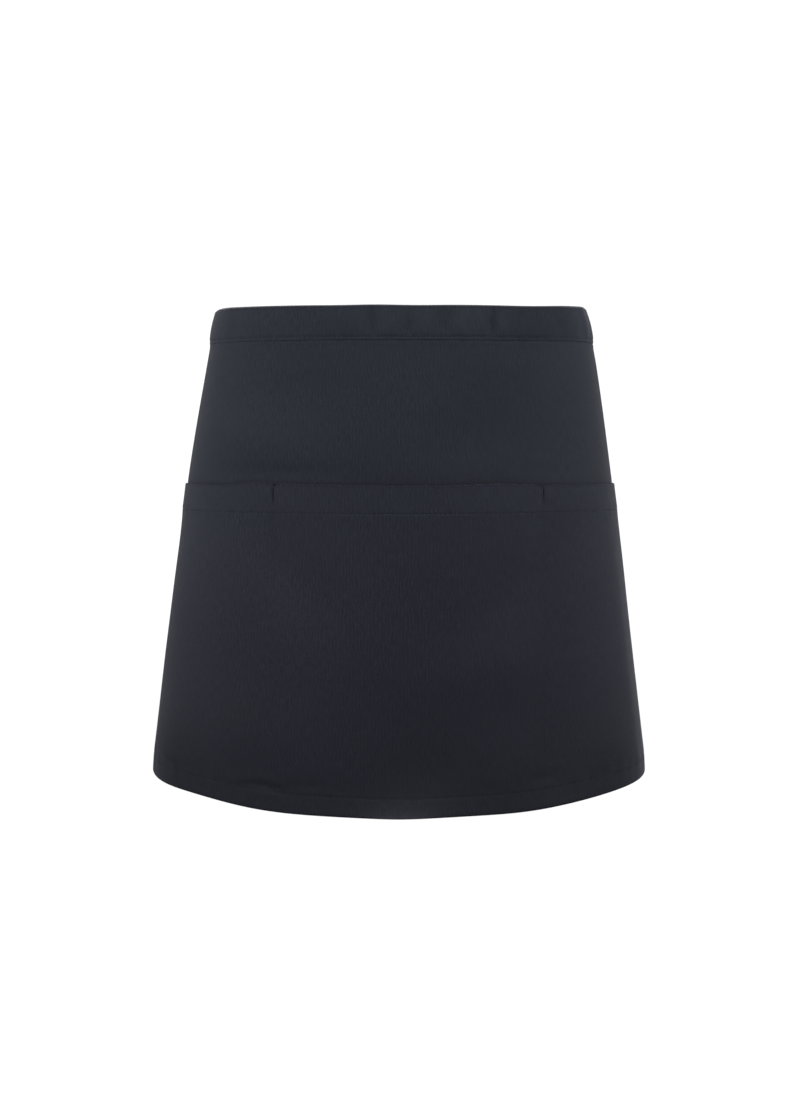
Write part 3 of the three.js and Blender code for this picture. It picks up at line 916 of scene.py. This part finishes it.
# Painted highlight on the mouth and hem threads, most at the middle.
mid_painted_light = hump(hem_arcs, middle=12, reach=60)
divider_rows = np.arange(POCKET_MOUTH + DIVIDER_TOP, HEM_LINE, STITCH_PITCH)
tack_rows = np.arange(POCKET_MOUTH + TACK_TOP, POCKET_MOUTH + TACK_FOOT, TACK_PITCH)
tack_sides = TACK_ZIGZAG * np.where(np.arange(tack_rows.size) % 2, 1, -1)
pocket_seams = [
    seam("stitches_mouth", pocket_outside, hem_arcs, MOUTH_STITCH, wear=MOUTH_THREAD_PAINTED_LIGHT * mid_painted_light),
    seam("stitches_hem", pocket_outside, hem_arcs, HEM_LINE, wear=HEM_THREAD_PAINTED_LIGHT * mid_painted_light),
]
for label, arc in (("right", RIGHT_DIVIDER), ("left", LEFT_DIVIDER)):
    pocket_seams += [
        seam(f"stitches_{label}_divider", pocket_outside, arc, divider_rows, **DIVIDER_STITCH),
        seam(f"stitches_{label}_divider_inside", skirt_inside, arc, divider_rows, side=-1),
        seam(f"tack_{label}_divider", pocket_outside, arc + tack_sides, tack_rows, **TACK_STITCH),
    ]

# Waistband
# A strip of twill folded lengthwise over the top of the skirt and stitched through along its foot.
# It is a little longer than the skirt, and its open ends take the ties.
BAND_END = 303
STITCH_ABOVE_FOOT = 2.4
BAND_STITCH = BAND_HEIGHT - STITCH_ABOVE_FOOT
FOLD_RADIUS = (3 * CLOTH + 2 * SEAM_GAP) / 2 - CLOTH / 2
FOLD_MIDDLE = -CLOTH / 2
BAND_LEG = BAND_HEIGHT - CLOTH / 2 - FOLD_RADIUS
BAND_LENGTH = 2 * BAND_LEG + np.pi * FOLD_RADIUS
BAND_GRID = 2.2
BAND_WAY_GRID = 1.6
BAND_DYE = (0.0027, 0.0033, 0.0051)
BAND_PATTERN = 0.87
CREASES = {
    "middle": (-32, -19.4, -10, 5.5, 16, 29, 41, 53, 63.7, 70, -70, -128, 118, 156),
    "level": (7, 12, 12, 16, 10, 11, 12, 12, 12, 15, 12, 12, 12, 12),
    "depth": (0.6, -1.3, 0.4, -0.9, 0.5, -1, 0.7, 0.2, -1.6, 0.8, -0.5, -0.5, -0.5, 1),
    "reach": (6, 2, 6, 2.4, 6, 4.6, 4, 5, 2.2, 3.2, 6, 7, 7, 6),
    "height": (9, 20, 14, 9, 12, 10, 14, 12, 20, 9, 14, 14, 14, 20),
    "lean": (0.05, 0.05, 0, -0.05, 0, -0.1, 0.1, 0.05, -0.1, -0.1, 0.2, -0.2, 0.15, 0.2),
}
CREASE_FADE = 6
CREASE_WANDER = 0.7


def creases(arc, drop):
    """Upright creases pressed into the band, one for each row of the table: a hump or a groove across a
    leaning line that wanders a little, which dies away along it and at the stitched foot."""
    fade = np.clip((BAND_STITCH - drop) / CREASE_FADE, 0, 1) ** 0.7
    wandered = arc + CREASE_WANDER * ripple(drop, wave=13, start=arc / 25)

    def crease(middle, level, depth, reach, height, lean):
        line = middle + lean * (drop - BAND_HEIGHT / 2)
        return depth * hump(wandered, line, reach) * hump(drop, level, height)

    return fade * sum(crease(**values) for values in each_row(CREASES))


CROWN = 0.9
BAND_WAVES = 0.25
FOOT_RIPPLE = 0.14
FOOT_GROOVE = 0.25
FOOT_PRESS = 0.25
TOP_RIPPLE = 0.22
STRETCH = 0.3
RIGHT_STRETCH = 0.45
LEFT_STRETCH = 1.2
LEFT_LIFT = 0.8


def in_front(way):
    """A soft step from the back of the folded strip to its front, across the middle of its fold."""
    return step_up(way, BAND_LENGTH / 2, reach=1.2)


def band_point(arc, way, lift):
    """A point on the folded strip by the way along it: up the back, half round the fold and down the
    front, moved out by the lift, with the front's crown and creases and the stitched line. The upper
    edge ripples and stands a little higher over the hips."""
    bend = np.clip((way - BAND_LEG) / FOLD_RADIUS, 0, np.pi)
    past = np.maximum(0, way - BAND_LEG - np.pi * FOLD_RADIUS) + np.maximum(0, BAND_LEG - way)
    drop = CLOTH / 2 + FOLD_RADIUS * (1 - np.sin(bend)) + past
    out = FOLD_MIDDLE - FOLD_RADIUS * np.cos(bend)
    bulge = np.sin(np.pi * np.clip(drop / BAND_HEIGHT, 0, 1))
    both = BAND_WAVES * ripple(arc, wave=47, start=2.2) * bulge
    both = both + FOOT_RIPPLE * ripple(arc, wave=14, start=0.8) * hump(drop, BAND_STITCH, reach=5)
    both = both - FOOT_GROOVE * hump(drop, BAND_STITCH, reach=0.8)
    foot = FOOT_PRESS * step_up(drop, BAND_STITCH, reach=1)
    ahead = CROWN * bulge + creases(arc, drop) + both - foot
    shape = in_front(way) * ahead - (1 - in_front(way)) * both
    left_hip = step_up(arc, edge=118, reach=18) * (1 - step_up(arc, edge=245, reach=25))
    tall = STRETCH + RIGHT_STRETCH * step_up(-arc, edge=95, reach=25) + LEFT_STRETCH * left_hip
    upper = np.clip(1 - drop / BAND_HEIGHT, 0, 1)
    shift = TOP_RIPPLE * ripple(arc, wave=62, start=0.2) * hump(drop, 0, reach=4)
    shift = shift - tall * upper - LEFT_LIFT * left_hip
    return place(arc, drop - lift * np.sin(bend) + shift, out - lift * np.cos(bend) + shape)


# Painted light and shade on the band: a paler middle, a darker stretch to its left, paler crease crests,
# darker grooves and a dark fold line.
BAND_MIDDLE_PAINTED_LIGHT = 0.14
LEFT_SHADE = 0.27
RIDGE_PAINTED_LIGHT = 0.25
TOP_SHADE = 1.1


def band_wear(arc, way):
    """Painted light and shade on the band's front, paler above 0 and darker below it: painted light at
    the middle, painted shade to the left of it, painted light on the crests of its creases and painted
    shade in their grooves, and painted shade along the fold."""
    # Painted light at the middle, painted shade to its left, painted light and shade on the creases, and
    # painted shade along the fold.
    painted_pale = BAND_MIDDLE_PAINTED_LIGHT * (step_up(arc, edge=-30, reach=4) - step_up(arc, edge=58, reach=5))
    shade = LEFT_SHADE * (step_up(arc, edge=76, reach=5) - step_up(arc, edge=140, reach=12))
    ridges = RIDGE_PAINTED_LIGHT * creases(arc, np.abs(BAND_LENGTH / 2 - way))
    fold = TOP_SHADE * hump(way, BAND_LENGTH / 2 + 0.6, reach=1.3)
    return in_front(way) * (painted_pale - shade + ridges) - fold


band_columns = lines(-BAND_END, BAND_END, BAND_GRID)
band_seam_ways = (STITCH_ABOVE_FOOT, BAND_LENGTH - STITCH_ABOVE_FOOT)
band_ways = lines(0, BAND_LENGTH, BAND_WAY_GRID, seams=band_seam_ways)
arcs, ways = np.meshgrid(band_columns, band_ways)
half = CLOTH / 2 * round_edge(arcs, -BAND_END, BAND_END, CLOTH / 2)
half = half * round_edge(ways, 0, BAND_LENGTH, CLOTH / 2)
band_cloth = twill("band_twill", BAND_DYE, BAND_PATTERN)
band = cloth_wall(
    "waist_band",
    outer=band_point(arcs, ways, half),
    inner=band_point(arcs, ways, -half),
    flat=np.stack([arcs, -ways], axis=-1) * MM,
    wear=band_wear(arcs, ways),
    material=band_cloth,
)
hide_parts("waistband")


def band_front(arc, row):
    """Points on the band's front face, by the drop of a row."""
    return band_point(arc, BAND_LENGTH - (BAND_HEIGHT - row), CLOTH / 2)


def band_back(arc, row):
    """Points on the band's inner face, by the drop of a row."""
    return band_point(arc, BAND_HEIGHT - row, CLOTH / 2)


END_INSET = 2.6
END_STITCH = BAND_END - END_INSET
END_PITCH = 0.8 * STITCH_PITCH
band_arcs = np.arange(SEAM_START - BAND_END, BAND_END - SEAM_END, STITCH_PITCH)
end_rows = np.arange(END_INSET, BAND_STITCH, END_PITCH)
for face, surface, side in (("outside", band_front, 1), ("inside", band_back, -1)):
    seam(f"stitches_band_{face}", surface, band_arcs, BAND_STITCH, side)
    for label, end in (("right", -END_STITCH), ("left", END_STITCH)):
        seam(f"stitches_band_{label}_end_{face}", surface, end, end_rows, side)

# Ties
# Two narrow straps of the band's twill, folded and stitched along one edge. Each is tucked into an
# open end of the waistband, runs round the back of the waist and gathers into pleats at the knot.
tie_low, tie_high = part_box("tie_right")
TIE_TOP = round(tie_high.z / MM, 3)
TIE_FOOT = round(tie_low.z / MM, 3)
TIE_WIDTH = TIE_TOP - TIE_FOOT
TIE_AT_KNOT = 6.5
TIE_GATHER = 48
TIE_PLEAT = 1.5
TIE_PRESS = 0.6
TIE_WAVES = 0.35
TIE_TWIST = 0.5
TIE_IN_KNOT = 4
TIE_GRID = 1.5
TIE_SEAM_START = 3
TIE_SEAM_END = 8
KNOT_WIDTH = 25
STRAP_ROUND = 0.025
STRAP_GRID = 0.04
STRAP_RUB = 0.5
EDGE_STITCH = 0.87
ring_lengths = run[:, -1]
half_waist = np.interp(TOP, LEVELS, ring_lengths)
tie_start = HALF_WIDTH + SEAM_GAP
tie_end = half_waist - KNOT_WIDTH / 2 + TIE_IN_KNOT


def strap(name, middle, half, flat, wear):
    """A flat strap: a grid of points down its middle layer, thickened both ways along its normal, the
    cross product of the grid's two directions."""
    normal = np.cross(np.gradient(middle, axis=0), np.gradient(middle, axis=1))
    normal /= np.linalg.norm(normal, axis=-1, keepdims=True)
    reach = normal * half[..., None] * MM
    return cloth_wall(name, middle + reach, middle - reach, flat * MM, wear, band_cloth)


def strap_half(along, across, start, end):
    """Half the thickness of a folded strap, rounded off along its edges and at both ends."""
    ends = round_edge(along, start, end, CLOTH / 2)
    return PRESSED_FOLD / 2 * round_edge(across, 0, 1, STRAP_ROUND) * ends


def strap_wear(across):
    """Wear of a strap: both edges are rubbed."""
    return STRAP_RUB * (hump(across, 0, reach=0.05) + hump(across, 1, reach=0.05))


def strap_face(layer, along, across):
    """Points on the face of a strap that looks away from the body, and the way it faces there: its
    middle layer, moved out by half a pressed fold along the normal of two short steps."""
    here = layer(along, across)
    short_along, short_across = 0.2, 0.01
    onward = layer(along + short_along, across) - here
    sideways = layer(along, across + short_across) - here
    normal = np.cross(onward, sideways)
    normal /= np.linalg.norm(normal, axis=-1, keepdims=True)
    away = np.sign(np.sum(normal[..., :2] * here[..., :2], axis=-1, keepdims=True))
    facing = away * normal
    return here + facing * PRESSED_FOLD / 2 * MM, facing


def tie_middle(side, arc, across):
    """Points down the middle of a tie: it narrows and pleats towards the knot by a cosine across it,
    comes up square to the knot, and waves and twists a little where it is free."""
    gathered = np.clip(1 - (tie_end - arc) / TIE_GATHER, 0, 1) ** 1.5
    high = TIE_TOP + (TIE_AT_KNOT - TIE_TOP) * gathered
    low = TIE_FOOT + (-TIE_AT_KNOT - TIE_FOOT) * gathered
    drop = TOP - (high + (low - high) * across)
    square = np.clip((arc - BAND_END) / (tie_end - BAND_END), 0, 1)
    ahead = square * (np.interp(drop, LEVELS, ring_lengths) - half_waist)
    pleat = gathered * (TIE_PLEAT * np.cos(5 * np.pi * across + 0.4) - TIE_PRESS)
    waves = TIE_WAVES * ripple(arc, wave=34, start=side)
    twist = TIE_TWIST * (across - 0.5) * ripple(arc, wave=57, start=1.3 * side)
    free = step_up(arc, BAND_END + 6, reach=3)
    return place(side * (arc + ahead), drop, pleat + free * (waves + twist) - CLOTH / 2)


for label, side in (("right", -1), ("left", 1)):
    tie_columns = np.sort(side * lines(tie_start, tie_end, TIE_GRID))
    arcs, acrosses = np.meshgrid(tie_columns, lines(0, 1, STRAP_GRID, edge=STRAP_ROUND))
    tie = strap(
        f"tie_strap_{label}",
        middle=tie_middle(side, np.abs(arcs), acrosses),
        half=strap_half(np.abs(arcs), acrosses, tie_start, tie_end),
        flat=np.stack([arcs, -acrosses * TIE_WIDTH], axis=-1),
        wear=strap_wear(acrosses),
    )
    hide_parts(f"tie_{label}")

    tie_arcs = np.arange(BAND_END + TIE_SEAM_START, tie_end - TIE_SEAM_END, STITCH_PITCH)
    stitches(f"stitches_tie_{label}", *strap_face(partial(tie_middle, side), tie_arcs, EDGE_STITCH))

# Knot
# The two ties are crossed, drawn tight and wrapped once, so a short loop of strap binds a gathered
# core, and both loose ends hang below it with their ends turned up and stitched.
KNOT_BEHIND = 96.5
KNOT_MIDDLE = np.array([form_at(TOP, "sway"), KNOT_BEHIND, 0])
CORE = {"half_width": 13, "half_height": 7.4, "half_depth": 4}
CORE_END = 0.02
CORE_PLEAT = 0.09
CORE_LUMP = 0.05
CORE_RINGS = 41
CORE_SIDES = 72


def core_point(u, v):
    """A point on the gathered core, u along it and v round it: an oval tube that closes nearly to a
    point at both ends by a sixth power, with pleats as two cosines round it, a little twisted."""
    close = np.sqrt(np.maximum(0, 1 - u**6)) * (1 - CORE_END) + CORE_END
    pleats = 1 + CORE_PLEAT * np.cos(9 * v + 1.4 * u) + CORE_LUMP * np.cos(5 * v - 0.8)
    deep = CORE["half_depth"] * close * pleats * np.sin(v)
    high = CORE["half_height"] * close * pleats * np.cos(v)
    return (np.stack([CORE["half_width"] * u, deep, high], axis=-1) + KNOT_MIDDLE) * MM


def cap(rim):
    """Quads that close a ring of an even number of points: a ladder of rungs across it."""
    rungs = len(rim) // 2
    one_side, other_side = rim[:rungs], rim[:rungs - 1:-1]
    sides = [one_side[:-1], one_side[1:], other_side[1:], other_side[:-1]]
    return np.stack(sides, axis=-1)


core_turns = np.linspace(0, 2 * np.pi, CORE_SIDES, endpoint=False)
u, v = np.meshgrid(np.linspace(-1, 1, CORE_RINGS), core_turns)
ids = np.arange(u.size).reshape(u.shape)
core_sides = quads_of(np.concatenate([ids, ids[:1]]))[:, ::-1]
core_flat = np.stack([u * CORE["half_width"], v * CORE["half_height"]], axis=-1) * MM
core = new_piece(
    "knot_core",
    points=core_point(u, v).reshape(-1, 3),
    faces=np.concatenate([core_sides, cap(ids[:, 0]), cap(ids[:, -1])[:, ::-1]]),
    flat=core_flat.reshape(-1, 2),
    wear=np.zeros(u.size),
    material=band_cloth,
)
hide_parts("tie_knot")

LOOP = {"half_height": 8.3, "half_depth": 4.6, "half_width": 5.6, "tilt": 0.5}
LOOP_OVERLAP = 0.15
LOOP_PLEAT = 0.55
LOOP_EDGE = 0.5
LOOP_SPREAD = 0.12
LOOP_ROUND = 0.12
LOOP_END_ROUND = 0.1
LOOP_RINGS = 91
LOOP_LINES = 29


def loop_middle(t, w):
    """Points down the middle of the loop, t round it and w across it: an oval hoop, tilted, wider at
    its top and foot, with pleats as a cosine across it, and edges that turn in."""
    width = LOOP["half_width"] * (1 + LOOP_SPREAD * np.cos(2 * t)) * w
    fold = LOOP_PLEAT * np.cos(3.5 * np.pi * w + 0.7 * np.sin(t)) - LOOP_EDGE * w**4
    rise = (LOOP["half_height"] + fold) * np.cos(t)
    deep = (LOOP["half_depth"] + fold) * np.sin(t)
    cos_tilt, sin_tilt = math.cos(LOOP["tilt"]), math.sin(LOOP["tilt"])
    points = [rise * sin_tilt + width * cos_tilt, deep, rise * cos_tilt - width * sin_tilt]
    return (np.stack(points, axis=-1) + KNOT_MIDDLE) * MM


loop_turns = np.linspace(-LOOP_OVERLAP, 2 * np.pi + LOOP_OVERLAP, LOOP_RINGS)
t, w = np.meshgrid(loop_turns, np.linspace(-1, 1, LOOP_LINES))
loop_ends = round_edge(t, loop_turns[0], loop_turns[-1], LOOP_END_ROUND)
loop = strap(
    "knot_loop",
    middle=loop_middle(t, w),
    half=PRESSED_FOLD / 2 * round_edge(w, -1, 1, LOOP_ROUND) * loop_ends,
    flat=np.stack([t * LOOP["half_height"], w * LOOP["half_width"]], axis=-1),
    wear=STRAP_RUB * hump(np.abs(w), 1, reach=0.15),
)

TAIL_LENGTH = 84
TAIL_IN_KNOT = 4
TAIL_TOP_WIDTH = 11
TAIL_END_WIDTH = 21
TAIL_APART = 3
TAIL_BELOW = 2
TAIL_LAYER = 1.7
TAIL_SPLAY = 0.16
TAIL_SWING = 0.05
TAIL_SLANT = 3
TAIL_PLEAT = 1.6
TAIL_TWIST = 0.35
TAIL_BELLY = 1.2
TAIL_TURN_UP = 6
TAIL_TURN_UP_LAYER = 0.5
TAIL_GRID = 1.6
TAIL_SEAM_START = 18
TAIL_SEAM_END = 4
TAIL_STITCH = 4.8
TAIL_STITCH_LIFT = 0.25
TAIL_STITCHES = 7


def tail_middle(side, way, across):
    """Points down the middle of a loose end: it widens by a square root, opens its pleats, a cosine
    across it, and swings out and twists as it hangs."""
    share = np.clip(way / TAIL_LENGTH, 0, 1)
    width = TAIL_TOP_WIDTH + (TAIL_END_WIDTH - TAIL_TOP_WIDTH) * np.sqrt(share)
    lean = TAIL_SPLAY + TAIL_SWING * np.sin(2.2 * np.pi * share + side)
    pleat = TAIL_PLEAT * (1 - share) ** 2 * np.cos(4 * np.pi * across + 0.5)
    twist = TAIL_TWIST * side * share
    aside = (across - 0.5) * width
    reach = way + side * TAIL_SLANT * (across - 0.5) * share
    x = side * (TAIL_APART + reach * np.sin(lean)) + aside * np.cos(twist)
    y = pleat + aside * np.sin(twist) - side * TAIL_LAYER + TAIL_BELLY * np.sin(np.pi * share)
    z = side * aside * np.sin(lean) - TAIL_BELOW - reach * np.cos(lean)
    return (np.stack([x, y, z], axis=-1) + KNOT_MIDDLE) * MM


tail_end = TAIL_LENGTH + TAIL_IN_KNOT
tail_ways = lines(0, tail_end, TAIL_GRID)[::-1]
edge_ways = np.arange(TAIL_SEAM_START, TAIL_LENGTH - TAIL_SEAM_END, STITCH_PITCH)
end_shares = np.linspace(0.08, 0.92, TAIL_STITCHES)
end_way = np.full_like(end_shares, tail_end - TAIL_STITCH)
for label, side in (("right", -1), ("left", 1)):
    tail_layer = partial(tail_middle, side)
    ways, acrosses = np.meshgrid(tail_ways, lines(0, 1, STRAP_GRID, edge=STRAP_ROUND))
    turned_up = 1 + TAIL_TURN_UP_LAYER * step_up(ways, tail_end - TAIL_TURN_UP, reach=0.4)
    tail = strap(
        f"tail_{label}",
        middle=tail_layer(ways, acrosses),
        half=strap_half(ways, acrosses, 0, tail_end) * turned_up,
        flat=np.stack([ways, -acrosses * TAIL_END_WIDTH], axis=-1),
        wear=strap_wear(acrosses),
    )

    stitches(f"stitches_tail_{label}_edge", *strap_face(tail_layer, edge_ways, EDGE_STITCH))
    points, facing = strap_face(tail_layer, end_way, end_shares)
    stitches(f"stitches_tail_{label}_end", points + TAIL_STITCH_LIFT * facing * MM, facing)
